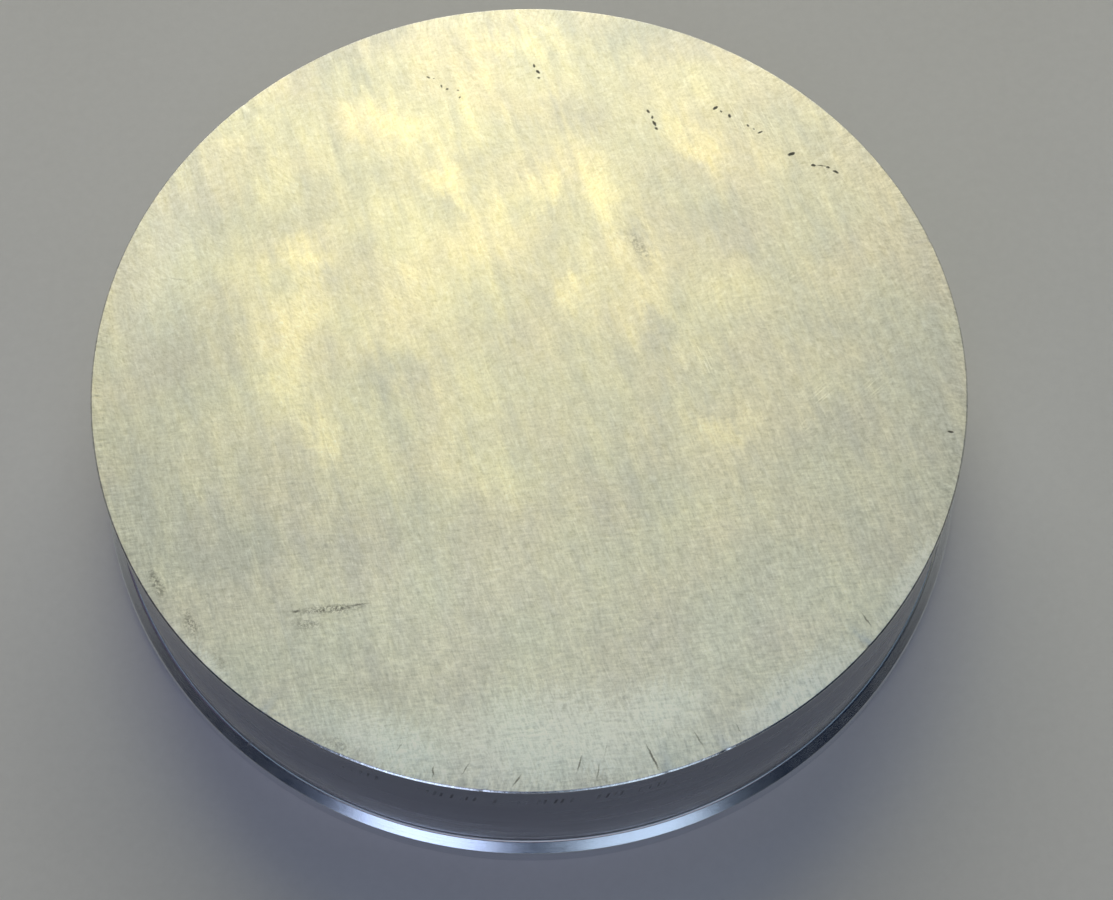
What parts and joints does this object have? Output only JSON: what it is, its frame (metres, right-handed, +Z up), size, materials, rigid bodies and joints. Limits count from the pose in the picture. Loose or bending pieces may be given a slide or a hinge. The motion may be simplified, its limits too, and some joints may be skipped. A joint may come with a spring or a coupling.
{
  "type": "blind flange",
  "caption": "Thick round aluminium blanking disc with a smooth side wall and a narrow coned clamp lip around its sealing face.",
  "frame": {"origin": "centre of the sealing face, which is the face that the flange stands on", "axes": "+Z up along the turning axis, from the sealing face to the plain outer face; the part is round, so X and Y are free"},
  "size_m": [0.095, 0.095, 0.02],
  "materials": {
    "rubbed_aluminium": "hand rubbed, matt with fine scratches on the outer face; smooth turned on the side wall",
    "turned_aluminium": "bright turned",
    "black_rubber": "matt moulded"
  },
  "bodies": {
    "root": {"blank_plate": "rubbed_aluminium", "clamp_lip_ring": "turned_aluminium", "face_seal_ring": "black_rubber"}
  },
  "joints": []
}
